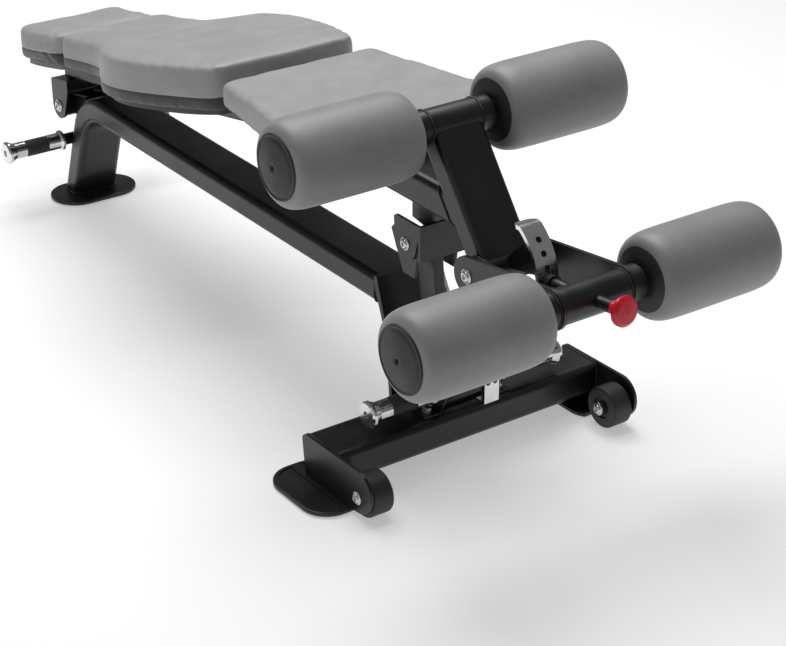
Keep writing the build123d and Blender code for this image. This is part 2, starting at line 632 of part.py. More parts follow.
def straps_and_screws():
    """Flat cross straps between tube and boards, and the screws that hold the boards to them."""
    straps, screws = [], []
    for y in STRAP_Y:
        strap = slab(layer(y - 20, y + 20, -BOARD_T - STRAP_T, -BOARD_T), (-85, 85))
        for x in (-68, 68):
            z = pad_z(y) - BOARD_T
            strap -= Pos(x, y, z) * Cylinder(SCREW_R + 0.1, 30)
            head = Pos(x, y, z - STRAP_T - 4) * Cylinder(6.5, 4)
            screws.append(head + Pos(x, y, z - 1) * Cylinder(SCREW_R, 8))
        straps.append(strap)
    return straps, screws


def build():
    save("main_beam", main_beam())
    save("rear_foot_plate", foot_plate(194, 118, 58.5, (0, 845)))
    save("tilt_pivot_sleeve", tilt_sleeve())
    save_bar("lift_bar", LIFT_AXIS, 196)
    save("front_plate", front_plate())
    save("base_tube", base_tube())
    sides = {"left": -1, "right": 1}
    save("end_plates", *[end_plate(side) for side in sides.values()])
    save("front_foot_plates", *[front_foot(side) for side in sides.values()])
    save("wheel_bolts", *[wheel_bolt(side) for side in sides.values()])
    places = [(side * x, y) for side in sides.values() for x, y in FRONT_PADS + [REAR_PAD]]
    save("foot_pads", *foot_pads(places))
    for name, side in sides.items():
        tyre, hub = transport_wheel(side)
        save(f"{name}_wheel_tyre", tyre)
        save(f"{name}_wheel_hub", hub)

    save("post", post())
    save("post_bush", post_bush())
    save("lever_pin", lever_pin())
    save("release_guides", release_guide(), mirrored(release_guide()))
    save("guide_bolts", guide_bolt(), mirrored(guide_bolt()))
    save("stop_plate", stop_plate())
    save("lift_column", lift_column())
    save("release_lever", release_lever())
    save_bar("release_bar", RELEASE_AXIS, 203)

    save("seat_tube", seat_tube())
    save("upright", upright())
    save("back_tube", back_tube())
    save("upper_cross_tube", cross_tube(UPPER_INNER, UPPER_AXIS))
    save("front_bracket", front_bracket())
    save("rest_bolt", bolt((-BRACKET_X[1], BRACKET_X[1]), REST_BOLT, REST_BOLT_R, 10, 6))
    save("rear_bracket", rear_bracket())
    save("tilt_bolt", bolt((-CHEEK_X[1], CHEEK_X[1]), TILT_PIVOT, TILT_BOLT_R, 12, 6))
    save("arm_pivot_sleeve", pivot_sleeve())
    save("sector_strip", sector_strip())
    save("sector_web", sector_web())

    seat_layer = [(-400, SEAT_Z[1]), (40, SEAT_Z[1]), (40, SEAT_UNDER), (-400, SEAT_UNDER)]
    save("seat_board", board(SEAT_PLAN, seat_layer, 20))
    save("back_board", board(BACK_PLAN, layer(20, 725, -BOARD_T, 0), 26))
    save("head_board", board(HEAD_PLAN, layer(700, 925, -BOARD_T, 0), 14))
    save("seat_pad", cut_pad(SEAT_PLAN, seat_profile(), 22))
    save("back_pad", cut_pad(BACK_PLAN, back_profile(), 30))
    save("head_pad", cut_pad(HEAD_PLAN, layer(700, 925, 0, HEAD_T), 26))
    straps, screws = straps_and_screws()
    save("pad_straps", *straps)
    save("pad_screws", *screws)

    save("arm_plates", *[arm_plate(side) for side in sides.values()])
    lower_tube = cross_tube(LOWER_INNER, LOWER_AXIS) - radial(PIN_R + 1, 150, 280, ARM_ANGLE)
    save("lower_cross_tube", lower_tube)
    save("arm_bolt", bolt((-ARM_X[1], ARM_X[1]), ARM_PIVOT, ARM_BOLT_R, 11, 6))
    save("plunger_sleeves", *plunger_sleeves())
    pin, knob = plunger()
    save("plunger_pin", pin)
    save("plunger_knob", knob)

    for level, inner, centre in (("lower", LOWER_INNER, LOWER_AXIS), ("upper", UPPER_INNER, UPPER_AXIS)):
        for name, side in sides.items():
            foam, core, cap = roller(inner, centre, side)
            save(f"{level}_{name}_foam", foam)
            save(f"{level}_{name}_core", core, cap)


if __name__ == "__main__":
    build()
    print(len(written), "nodes")
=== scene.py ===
import json
import math

import bmesh
import bpy
import numpy as np
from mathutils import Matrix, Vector


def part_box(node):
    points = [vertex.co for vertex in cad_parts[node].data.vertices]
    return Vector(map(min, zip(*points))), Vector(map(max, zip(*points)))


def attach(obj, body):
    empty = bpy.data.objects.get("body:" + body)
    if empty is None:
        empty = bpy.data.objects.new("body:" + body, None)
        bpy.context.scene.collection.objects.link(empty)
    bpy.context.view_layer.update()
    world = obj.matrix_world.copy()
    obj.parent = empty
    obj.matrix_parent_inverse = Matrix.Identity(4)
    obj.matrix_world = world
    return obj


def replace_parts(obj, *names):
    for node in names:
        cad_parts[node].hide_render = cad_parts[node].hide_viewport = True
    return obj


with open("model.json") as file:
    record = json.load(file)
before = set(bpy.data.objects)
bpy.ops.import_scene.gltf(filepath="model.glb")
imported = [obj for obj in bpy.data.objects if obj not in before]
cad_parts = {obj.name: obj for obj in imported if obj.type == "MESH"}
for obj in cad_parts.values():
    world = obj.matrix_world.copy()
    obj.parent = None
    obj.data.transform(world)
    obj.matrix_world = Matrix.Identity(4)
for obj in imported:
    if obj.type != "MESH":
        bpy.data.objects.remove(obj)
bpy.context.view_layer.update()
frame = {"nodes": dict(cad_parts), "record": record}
nodes = frame["nodes"]
bodyOf = {node: body for body, members in frame["record"]["behaviour"]["bodies"].items() for node in members}


class Wire:  # one output socket, a number or a vector that varies
    def __init__(self, tree, socket):
        self.tree = tree
        self.socket = socket

    def out(self, name):  # another output of the same node
        return Wire(self.tree, self.socket.node.outputs[name])

    def calc(self, operation, *values):
        return self.tree.make("ShaderNodeMath", {"operation": operation}, dict(enumerate(values)))

    def __add__(self, other):
        return self.calc("ADD", self, other)

    def __radd__(self, other):
        return self.calc("ADD", other, self)

    def __sub__(self, other):
        return self.calc("SUBTRACT", self, other)

    def __rsub__(self, other):
        return self.calc("SUBTRACT", other, self)

    def __mul__(self, other):
        return self.calc("MULTIPLY", self, other)

    def __rmul__(self, other):
        return self.calc("MULTIPLY", other, self)

    def __truediv__(self, other):
        return self.calc("DIVIDE", self, other)

    def __rtruediv__(self, other):
        return self.calc("DIVIDE", other, self)

    def __pow__(self, other):
        return self.calc("POWER", self, other)

    def __gt__(self, other):
        return self.calc("GREATER_THAN", self, other)

    def __lt__(self, other):
        return self.calc("LESS_THAN", self, other)

    def __abs__(self):
        return self.calc("ABSOLUTE", self)


class Tree:  # a shader or geometry node tree under construction
    def __init__(self, tree):
        self.tree = tree

    def make(self, kind, settings=None, inputs=None, out=0):
        node = self.tree.nodes.new(kind)
        for name, value in (settings or {}).items():
            setattr(node, name, value)
        for key, value in (inputs or {}).items():
            if isinstance(value, Wire):
                self.tree.links.new(value.socket, node.inputs[key])
            else:
                node.inputs[key].default_value = value
        return Wire(self, node.outputs[out]) if node.outputs else node


class Paint(Tree):  # a material with a Principled shader
    def __init__(self, name):
        self.material = bpy.data.materials.new(name)
        self.material.use_nodes = True
        super().__init__(self.material.node_tree)
        self.tree.nodes.clear()
        self.place = self.make("ShaderNodeTexCoord", out="Object")

    def noise(self, scale, detail=3.0, rough=0.5):
        inputs = {"Vector": self.place, "Scale": scale, "Detail": detail, "Roughness": rough}
        return self.make("ShaderNodeTexNoise", {}, inputs)

    def cells(self, scale):
        inputs = {"Vector": self.place, "Scale": scale}
        return self.make("ShaderNodeTexVoronoi", {}, inputs, out="Distance")

    def ramp(self, value, low, high, to=(0.0, 1.0)):
        inputs = {"Value": value, "From Min": low, "From Max": high, "To Min": to[0], "To Max": to[1]}
        return self.make("ShaderNodeMapRange", {"clamp": True}, inputs)

    def blend(self, factor, first, second):
        inputs = {0: factor, 6: first, 7: second}
        return self.make("ShaderNodeMix", {"data_type": "RGBA"}, inputs, out=2)

    def bump(self, height, depth, strength=1.0):
        inputs = {"Height": height, "Distance": depth, "Strength": strength}
        return self.make("ShaderNodeBump", {}, inputs)

    def shader(self, colour, roughness, normal=None, **fixed):
        inputs = {"Base Color": colour, "Roughness": roughness}
        if normal:
            inputs["Normal"] = normal
        for name, value in fixed.items():
            inputs[name.replace("_", " ")] = value
        surface = self.make("ShaderNodeBsdfPrincipled", {}, inputs)
        self.make("ShaderNodeOutputMaterial", {}, {"Surface": surface})
        return self.material


def grey(level, warm=0.0):
    return (level * (1 + warm), level, level * (1 - warm), 1.0)


def powderCoat():
    look = {"black": 0.0085, "dustAndLitTop": 0.018, "gloss": 0.31, "specular": 0.5,
            "drift": 9.0, "scuff": 55.0, "peel": 620.0, "depth": 0.00012}
    coat = Paint("powderCoat")
    drift = coat.noise(look["drift"], 4.0)
    peel = coat.noise(look["peel"], 2.0)
    scuff = coat.ramp(coat.noise(look["scuff"], 6.0, 0.7), 0.60, 0.78)
    facing = coat.make("ShaderNodeSeparateXYZ", {}, {0: coat.place.out("Normal")}, out="Z")
    dustAndTopLight = coat.ramp(facing, 0.4, 1.0) * coat.ramp(drift, 0.40, 0.65)  # dust and painted top light: faces that look up are made paler, in patches
    # painted light and dust: faces that look up are blended towards a paler grey, as if lit from above
    colour = coat.blend(dustAndTopLight * 0.6, grey(look["black"]), grey(look["dustAndLitTop"], 0.03))
    colour = coat.blend(scuff * 0.35, colour, grey(look["dustAndLitTop"] * 1.4))
    rough = look["gloss"] + coat.ramp(drift, 0.3, 0.7, (-0.04, 0.06)) + scuff * 0.10 + dustAndTopLight * 0.05
    normal = coat.bump(peel, look["depth"], 0.5)
    return coat.shader(colour, rough, normal, Specular_IOR_Level=look["specular"])


def vinyl(name, level, band=None):
    look = {"mottle": 14.0, "grain": 760.0, "crease": 210.0, "rough": 0.46, "depth": 0.00022,
            "specular": 0.42, "sheen": 0.06, "bandDark": 0.024, "bandLight": 0.031}
    skin = Paint(name)
    mottle = skin.noise(look["mottle"], 5.0, 0.6)
    cloudy = skin.ramp(mottle, 0.35, 0.68)
    pores = skin.cells(look["grain"])
    crease = skin.noise(look["crease"], 4.0, 0.6)
    colour = skin.blend(cloudy, grey(level * 0.94), grey(level * 1.05))
    colour = skin.blend(skin.ramp(pores, 0.0, 0.22, (0.25, 0.0)), colour, grey(level * 0.72))
    if band:  # charcoal lower band, below a plane that runs with the pad
        y, z = (skin.make("ShaderNodeSeparateXYZ", {}, {0: skin.place}, out=axis) for axis in "YZ")
        over = z - band["base"] + (y - band["y"]) * band["slope"]
        charcoal = skin.blend(cloudy, grey(look["bandDark"]), grey(look["bandLight"]))
        colour = skin.blend(over < band["height"], colour, charcoal)
    rough = look["rough"] + skin.ramp(mottle, 0.3, 0.7, (-0.05, 0.05))
    rough = rough + skin.ramp(pores, 0.0, 0.3, (0.08, 0.0))
    normal = skin.bump(skin.ramp(pores, 0.0, 0.35) * 0.7 + crease * 0.5, look["depth"], 0.5)
    return skin.shader(colour, rough, normal, Specular_IOR_Level=look["specular"],
                       Sheen_Weight=look["sheen"], Sheen_Roughness=0.5)


def plated(name, level, rough, brushed=0.0):
    look = {"smear": 38.0, "speck": 420.0, "fine": 900.0, "depth": 0.00006}
    metal = Paint(name)
    smear = metal.noise(look["smear"], 5.0, 0.65)
    specks = metal.ramp(metal.noise(look["speck"], 3.0), 0.62, 0.72)
    colour = metal.blend(metal.ramp(smear, 0.35, 0.70), grey(level, 0.01), grey(level * 0.86, 0.02))
    colour = metal.blend(specks * 0.3, colour, grey(level * 0.6, 0.03))
    texture = rough + metal.ramp(smear, 0.3, 0.7, (-0.03, 0.07)) + specks * 0.12
    normal = metal.bump(metal.noise(look["fine"], 2.0), look["depth"], 0.3 + brushed)
    return metal.shader(colour, texture, normal, Metallic=1.0)


def moulded(name, level, rough, grain, tint=None):
    look = {"cloud": 26.0, "spread": 0.12, "depth": 0.00010}
    plastic = Paint(name)
    cloud = plastic.noise(look["cloud"], 4.0)
    first = grey(level * (1 - look["spread"]))
    second = grey(level * (1 + look["spread"]))
    if tint:
        first = tuple(c * 0.9 for c in tint) + (1.0,)
        second = tint + (1.0,)
    colour = plastic.blend(plastic.ramp(cloud, 0.3, 0.7), first, second)
    texture = rough + plastic.ramp(cloud, 0.3, 0.7, (-0.05, 0.06))
    return plastic.shader(colour, texture, plastic.bump(plastic.cells(grain), look["depth"], 0.4))


backSlope = 0.184                                   # rise of the back pad towards the seat
backPlane = {"base": 0.319, "y": 0.907, "slope": backSlope, "height": 0.027}

paints = {
    "frame_paint": powderCoat(),
    "pad_vinyl": vinyl("padVinyl", 0.330, backPlane),
    "seatVinyl": vinyl("seatVinyl", 0.330),
    "roller_vinyl": vinyl("rollerVinyl", 0.262),
    "plated_steel": plated("brightPlate", 0.80, 0.14),
    "bolt_steel": plated("boltPlate", 0.66, 0.27, 0.3),
    "black_rubber": moulded("gripRubber", 0.022, 0.62, 1500.0),
    "wheel_rubber": moulded("wheelRubber", 0.020, 0.50, 1100.0),
    "black_plastic": moulded("discPlastic", 0.014, 0.52, 1300.0),
    "red_plastic": moulded("redPlastic", 0.5, 0.24, 900.0, (0.66, 0.010, 0.030)),
    "board_ply": moulded("boardCover", 0.042, 0.52, 1000.0),
    "headBoard": moulded("headBoardCover", 0.130, 0.50, 1000.0),
    "thread": moulded("thread", 0.260, 0.60, 2400.0),
}
for part in frame["record"]["subparts"]:
    mesh = nodes[part["node"]].data
    mesh.materials.clear()
    mesh.materials.append(paints[part["material_slot"]])
nodes["head_board"].data.materials[0] = paints["headBoard"]
print("finishes:", len(paints))


def pieceFrom(name, mesh, body, slot):  # a smooth piece that rides on a body
    mesh.name = name
    piece = bpy.data.objects.new(name, mesh)
    bpy.context.scene.collection.objects.link(piece)
    if not mesh.materials:
        mesh.materials.append(paints[slot])
    mesh.shade_smooth()
    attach(piece, body)
    return piece


def meshOf(name, points, faces, edges=()):
    mesh = bpy.data.meshes.new(name)
    mesh.from_pydata([tuple(p) for p in points], list(edges), faces)
    return mesh


mergeGap = 0.00002


def cleaned(mesh):  # merged doubles, faces outward
    work = bmesh.new()
    work.from_mesh(mesh)
    bmesh.ops.remove_doubles(work, verts=work.verts, dist=mergeGap)
    bmesh.ops.recalc_face_normals(work, faces=work.faces)
    work.to_mesh(mesh)
    work.free()
    return mesh


def joined(name, meshes):
    points, faces = [], []
    for mesh in meshes:
        start = len(points)
        points += [v.co.copy() for v in mesh.vertices]
        faces += [[start + i for i in f.vertices] for f in mesh.polygons]
    return meshOf(name, points, faces)


def flipped(mesh):  # mirror image across the middle of the bench
    other = mesh.copy()
    for vertex in other.vertices:
        vertex.co.x *= -1
    return cleaned(other)


def middle(node):
    low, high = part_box(node)
    return (Vector(low) + Vector(high)) / 2


def turned(profile, centre, side=1, steps=60, hexed=()):
    # closed (x, r) profile turned round the X line through centre; rings numbered in hexed are hexagons
    points = []
    sixth = math.pi / 3
    for i in range(steps):
        a = 2 * math.pi * i / steps
        flat = math.cos(sixth / 2) / math.cos(a % sixth - sixth / 2)
        for ring, (x, r) in enumerate(profile):
            r *= flat if ring in hexed else 1
            points.append((side * x, centre[0] + r * math.cos(a), centre[1] + r * math.sin(a)))
    n = len(profile)
    faces = []
    for i in range(steps):
        j = (i + 1) % steps
        faces += [(i * n + k, i * n + (k + 1) % n, j * n + (k + 1) % n, j * n + k) for k in range(n)]
    return cleaned(meshOf("turned", points, faces))


def sliced(node, point, normal):  # the longest outline where a plane cuts a node
    work = bmesh.new()
    work.from_mesh(node.data)
    bmesh.ops.remove_doubles(work, verts=work.verts, dist=mergeGap)
    geometry = work.verts[:] + work.edges[:] + work.faces[:]
    cut = bmesh.ops.bisect_plane(work, geom=geometry, plane_co=point, plane_no=normal)["geom_cut"]
    links = {}
    for edge in (e for e in cut if isinstance(e, bmesh.types.BMEdge)):
        a, b = edge.verts
        links.setdefault(a, []).append(b)
        links.setdefault(b, []).append(a)
    loops = []
    left = set(links)
    while left:
        here = min(left, key=lambda v: tuple(v.co))
        loop = []
        while here in left:
            left.discard(here)
            loop.append(here.co.copy())
            here = next((v for v in links[here] if v in left), here)
        loops.append(loop)
    work.free()
    return max(loops, key=lambda loop: sum((a - b).length for a, b in zip(loop, loop[1:] + loop[:1])))


class Growth(Tree):  # a geometry node group with named inputs
    def __init__(self, name, inputs):
        group = bpy.data.node_groups.new(name, "GeometryNodeTree")
        super().__init__(group)
        group.interface.new_socket("Geometry", in_out="OUTPUT", socket_type="NodeSocketGeometry")
        group.interface.new_socket("Geometry", in_out="INPUT", socket_type="NodeSocketGeometry")
        self.keys = {}
        for label, value in inputs.items():
            kind = {int: "NodeSocketInt", float: "NodeSocketFloat"}.get(type(value), "NodeSocketMaterial")
            self.keys[label] = group.interface.new_socket(label, in_out="INPUT", socket_type=kind).identifier
        self.values = inputs
        self.source = self.make("NodeGroupInput")

    def given(self, label):
        return self.source.out(label)

    def close(self, geometry):  # every tree ends in real faces with a material
        real = self.make("GeometryNodeRealizeInstances", {}, {0: geometry})
        inputs = {"Geometry": real, "Material": self.given("Material")}
        done = self.make("GeometryNodeSetMaterial", {}, inputs)
        self.make("NodeGroupOutput", {}, {0: done})
        return self

    def grow(self, name, base, **changes):  # run the tree on a mesh and keep the result as a plain mesh
        holder = bpy.data.objects.new(name + "Base", base)
        bpy.context.scene.collection.objects.link(holder)
        modifier = holder.modifiers.new("growth", "NODES")
        modifier.node_group = self.tree
        for label, value in {**self.values, **changes}.items():
            modifier[self.keys[label]] = value
        holder.update_tag()
        scene = bpy.context.evaluated_depsgraph_get()
        mesh = bpy.data.meshes.new_from_object(holder.evaluated_get(scene))
        holder.modifiers.remove(modifier)
        bpy.data.objects.remove(holder)
        return mesh


def loopMesh(loops):  # closed outlines as edges, the base of what runs along them
    points, edges = [], []
    for loop in loops:
        start = len(points)
        count = len(loop)
        points += loop
        edges += [(start + i, start + (i + 1) % count) for i in range(count)]
    return meshOf("path", points, [], edges)


def beadTree():  # flattened beads at a pitch along a path: stitches and weld ripples
    tree = Growth("beads", {"Pitch": 0.004, "Length": 0.003, "Width": 0.001, "Height": 0.001, "Rings": 6,
                         "Material": paints["frame_paint"]})
    path = tree.make("GeometryNodeMeshToCurve", {}, {0: tree.source})
    step = {"Curve": path, "Length": tree.given("Pitch")}
    path = tree.make("GeometryNodeResampleCurve", {"mode": "LENGTH"}, step)
    facets = {"Segments": 8, "Rings": tree.given("Rings"), "Radius": 0.5}
    ball = tree.make("GeometryNodeMeshUVSphere", {}, facets)
    extent = {0: tree.given("Width"), 1: tree.given("Height"), 2: tree.given("Length")}
    size = tree.make("ShaderNodeCombineXYZ", {}, extent)
    shaped = tree.make("GeometryNodeTransform", {}, {"Geometry": ball, "Scale": size})
    tangent = tree.make("GeometryNodeInputTangent")
    turn = tree.make("FunctionNodeAlignRotationToVector", {"axis": "Z"}, {"Vector": tangent})
    spread = {"Points": path, "Instance": shaped, "Rotation": turn}
    return tree.close(tree.make("GeometryNodeInstanceOnPoints", {}, spread))


def sleeveTree():  # foam sleeve: a superellipse turned round X, with a faint barrel
    tree = Growth("sleeve", {"Length": 0.248, "Radius": 0.075, "Square": 9.0, "Barrel": 0.0012,
                          "Along": 97, "Around": 120, "Material": paints["roller_vinyl"]})
    size = {"Size X": 1.0, "Size Y": 1.0,
            "Vertices X": tree.given("Along"), "Vertices Y": tree.given("Around")}
    grid = tree.make("GeometryNodeMeshGrid", {}, size)
    where = tree.make("GeometryNodeInputPosition")
    u = tree.make("ShaderNodeSeparateXYZ", {}, {0: where}, out="X") + 0.5
    v = tree.make("ShaderNodeSeparateXYZ", {}, {0: where}, out="Y") + 0.5
    sweep = u * math.pi
    cosine = tree.make("ShaderNodeMath", {"operation": "COSINE"}, {0: sweep})
    sine = tree.make("ShaderNodeMath", {"operation": "SINE"}, {0: sweep})
    power = 2.0 / tree.given("Square")
    sign = tree.make("ShaderNodeMath", {"operation": "SIGN"}, {0: cosine})
    along = sign * (abs(cosine) ** power) * tree.given("Length") * 0.5
    swell = abs(sine) ** power
    radius = swell * (tree.given("Radius") - tree.given("Barrel") * abs(cosine) * swell)
    turn = v * (2 * math.pi)
    y = radius * tree.make("ShaderNodeMath", {"operation": "COSINE"}, {0: turn})
    z = radius * tree.make("ShaderNodeMath", {"operation": "SINE"}, {0: turn})
    place = tree.make("ShaderNodeCombineXYZ", {}, {0: along, 1: y, 2: z})
    shaped = tree.make("GeometryNodeSetPosition", {}, {"Geometry": grid, "Position": place})
    closed = tree.make("GeometryNodeMergeByDistance", {}, {"Geometry": shaped, "Distance": 0.00005})
    return tree.close(closed)


def ribTree():  # rings in a row along X: the ribs of a moulded grip
    tree = Growth("ribs", {"Count": 12, "Pitch": 0.005, "Radius": 0.017, "Bead": 0.0012,
                        "Material": paints["black_rubber"]})
    step = tree.make("ShaderNodeCombineXYZ", {}, {0: tree.given("Pitch")})
    row = tree.make("GeometryNodeMeshLine", {}, {"Count": tree.given("Count"), "Offset": step})
    circle = "GeometryNodeCurvePrimitiveCircle"
    ring = tree.make(circle, {}, {"Resolution": 40, "Radius": tree.given("Radius")})
    wire = tree.make(circle, {}, {"Resolution": 8, "Radius": tree.given("Bead")})
    torus = tree.make("GeometryNodeCurveToMesh", {}, {"Curve": ring, "Profile Curve": wire})
    upright = tree.make("GeometryNodeTransform", {}, {"Geometry": torus, "Rotation": (0.0, math.pi / 2, 0.0)})
    rings = tree.make("GeometryNodeInstanceOnPoints", {}, {"Points": row, "Instance": upright})
    return tree.close(rings)


beads = beadTree()
sleeves = sleeveTree()
ribs = ribTree()
print("geometry node trees: 3")


def rollers():
    sizes = {"length": 0.248, "discRadius": 0.055, "dome": 0.008, "hole": 0.0025}
    for level in ("lower", "upper"):
        for side, sign in (("left", -1), ("right", 1)):
            low, high = (Vector(c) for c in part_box(f"{level}_{side}_foam"))
            centre = (low + high) / 2
            body = f"{level}_{side}_roller"
            mesh = sleeves.grow("sleeve", bpy.data.meshes.new("seed"), Radius=(high.z - low.z) / 2,
                                Length=high.x - low.x)
            for vertex in mesh.vertices:
                vertex.co += centre
            foam = pieceFrom(f"{level}_{side}_sleeve", cleaned(mesh), body, "roller_vinyl")
            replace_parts(foam, f"{level}_{side}_foam")
            inner = min(abs(low.x), abs(high.x))
            outer = inner + sizes["length"]
            disc, dome, hole = sizes["discRadius"], sizes["dome"], sizes["hole"]
            outward = [(outer - 0.004, hole), (outer - 0.004, disc), (outer + 0.0005, disc),
                       (outer + 0.0020, disc - 0.0012), (outer + 0.0020, disc - 0.0032),
                       (outer + 0.0010, disc - 0.0044), (outer + 0.0012, disc - 0.0070)]
            for i in range(1, 13):
                r = (disc - 0.0070) * (1 - i / 12) + 0.006 * i / 12
                outward.append((outer + 0.0012 + (dome - 0.0014) * math.cos(r / disc * math.pi / 2), r))
            outward += [(outer + dome - 0.0012, 0.0045), (outer + dome - 0.0040, hole)]
            inward = [(inner + 0.004, 0.0141), (inner - 0.003, 0.0141), (inner - 0.003, 0.038),
                      (inner - 0.0022, 0.040), (inner - 0.0004, disc - 0.002), (inner + 0.001, disc),
                      (inner + 0.004, disc)]
            axis = (centre.y, centre.z)
            both = joined("discs", [turned(outward, axis, sign), turned(inward, axis, sign)])
            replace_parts(pieceFrom(f"{level}_{side}_discs", both, body, "black_plastic"),
                        f"{level}_{side}_core")
    print("rollers: 4 sleeves and their discs")


def cushion(name, node, paint, look):
    low, high = (Vector(c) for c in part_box(node))
    mesh = cleaned(nodes[node].data.copy())
    mesh.materials.clear()
    pad = bpy.data.objects.new(name, mesh)
    bpy.context.scene.collection.objects.link(pad)
    bpy.context.view_layer.objects.active = pad
    remesh = pad.modifiers.new("remesh", "REMESH")
    remesh.mode = "VOXEL"
    remesh.voxel_size = look["voxel"]
    smooth = pad.modifiers.new("ease", "SMOOTH")
    smooth.factor = 0.5
    smooth.iterations = look["ease"]
    bake(pad)
    start = np.array([v.co[:] for v in pad.data.vertices])
    normals = np.array([v.normal[:] for v in pad.data.vertices])
    start -= normals * look["shrink"]
    pad.data.vertices.foreach_set("co", start.ravel())
    puff(pad, look["pressure"])
    moved = np.array([v.co[:] for v in pad.data.vertices])
    shift = moved - start
    far = np.linalg.norm(shift, axis=1, keepdims=True)
    moved = start + shift * np.minimum(1.0, look["cap"] / np.maximum(far, 1e-9))
    rest = look["under"](moved[:, 1])
    moved[:, 2] = np.maximum(moved[:, 2], rest)
    pad.data.vertices.foreach_set("co", moved.ravel())
    pressed = pad.modifiers.new("pressed", "SMOOTH")  # irons the small ripples out of the skin
    pressed.factor = 0.5
    pressed.iterations = look["press"]
    finer = pad.modifiers.new("finer", "SUBSURF")
    finer.levels = finer.render_levels = 1
    bake(pad)
    final = np.array([v.co[:] for v in pad.data.vertices])
    final[:, 2] = np.maximum(final[:, 2], look["under"](final[:, 1]))
    if look["seam"]:
        away = np.abs(final[:, 2] - look["under"](final[:, 1]) - look["seam"])
        normals = np.array([v.normal[:] for v in pad.data.vertices])
        final -= normals * (look["groove"] * np.exp(-(away / look["grooveWidth"]) ** 2))[:, None]
    final = np.clip(final, np.array(low) - 0.004, np.array(high) + 0.006)
    pad.data.vertices.foreach_set("co", final.ravel())
    pad.data.materials.append(paint)
    pad.data.shade_smooth()
    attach(pad, bodyOf[node])
    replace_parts(pad, node)
    return pad


def bake(piece):  # apply every modifier and keep the mesh
    scene = bpy.context.evaluated_depsgraph_get()
    mesh = bpy.data.meshes.new_from_object(piece.evaluated_get(scene))
    piece.modifiers.clear()
    piece.data = mesh


def puff(piece, pressure):  # cloth skin blown up from inside, without gravity
    cloth = piece.modifiers.new("skin", "CLOTH")
    cloth.settings.use_pressure = True
    cloth.settings.uniform_pressure_force = pressure
    cloth.settings.effector_weights.gravity = 0.0
    cloth.settings.quality = 4
    scene = bpy.context.scene
    cloth.point_cache.frame_start = 1
    cloth.point_cache.frame_end = 20
    for step in range(1, 21):
        scene.frame_set(step)
    bake(piece)
    scene.frame_set(1)


def stitches(name, pad, under, height, body):
    level = Vector((0, backSlope, 1)) if under is backUnder else Vector((0, 0, 1))
    loop = sliced(pad, Vector((0, 0, under(0.0) + height)), level)
    look = {"Pitch": 0.0042, "Length": 0.0030, "Width": 0.0008, "Height": 0.0008, "Rings": 4}
    mesh = beads.grow(name, loopMesh([loop]), Material=paints["thread"], **look)
    return pieceFrom(name, mesh, body, "pad_vinyl")


def backUnder(y):  # underside of the back and head pads
    return backPlane["base"] + (backPlane["y"] - y) * backSlope


def seatUnder(y):  # level all along
    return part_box("seat_pad")[0][2]


def pads():
    soft = {"voxel": 0.005, "ease": 8, "shrink": -0.0008, "pressure": 2.6, "cap": 0.0040, "press": 7,
            "groove": 0.0016, "grooveWidth": 0.0022}
    seat = cushion("seatCushion", "seat_pad", paints["seatVinyl"], {**soft, "under": seatUnder, "seam": 0.0})
    back = cushion("backCushion", "back_pad", paints["pad_vinyl"],
                   {**soft, "voxel": 0.0068, "under": backUnder, "seam": backPlane["height"]})
    head = cushion("headCushion", "head_pad", paints["pad_vinyl"],
                   {**soft, "under": backUnder, "seam": backPlane["height"]})
    stitches("backStitches", back, backUnder, backPlane["height"] + 0.005, "pad_frame")
    stitches("headStitches", head, backUnder, backPlane["height"] + 0.005, "pad_frame")
    stitches("seatStitches", seat, seatUnder, 0.006, "pad_frame")
    print("pads: 3")


def socketBolt(low, high, centre, shank, head, tall):  # cross bolt: button heads with hexagon sockets
    half = [(0.0, shank), (0.0, head + 0.0030), (0.0012, head + 0.0032), (0.0018, head + 0.0024),
            (0.0018, head), (0.30 * tall + 0.0018, head * 0.98), (0.70 * tall + 0.0010, head * 0.84),
            (tall, head * 0.60), (tall, head * 0.47), (tall - 0.0006, head * 0.43),
            (tall * 0.35, head * 0.43), (tall * 0.30, 0.0004), (-0.004, 0.0004), (-0.004, shank)]
    sockets = (8, 9, 10)
    parts = [turned([(high + x, r) for x, r in half], centre, hexed=sockets),
             turned([(-low + x, r) for x, r in half], centre, side=-1, hexed=sockets),
             turned([(low - 0.003, shank), (high + 0.003, shank), (high + 0.003, 0.0005),
                     (low - 0.003, 0.0005)], centre)]
    return joined("bolt", parts)


def bolts():
    look = {"rest_bolt": (0.006, 0.0088), "tilt_bolt": (0.008, 0.0105), "arm_bolt": (0.008, 0.0100),
            "wheel_bolts": (0.006, 0.0085), "tall": 0.006}   # shank and head radius, head height
    tall = look["tall"]
    for node in ("rest_bolt", "tilt_bolt", "arm_bolt"):
        low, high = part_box(node)
        mesh = socketBolt(low[0] + tall, high[0] - tall, middle(node).yz, *look[node], tall)
        piece = pieceFrom(node.replace("_bolt", "ButtonBolt"), mesh, bodyOf[node], "bolt_steel")
        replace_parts(piece, node)
    inner = min(abs(v.co.x) for v in nodes["wheel_bolts"].data.vertices)
    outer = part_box("wheel_bolts")[1][0]
    right = socketBolt(inner + tall, outer - tall, middle("wheel_bolts").yz, *look["wheel_bolts"], tall)
    piece = pieceFrom("wheelButtonBolts", joined("pair", [right, flipped(right)]), "base_frame", "bolt_steel")
    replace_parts(piece, "wheel_bolts")
    print("bolts: 5")


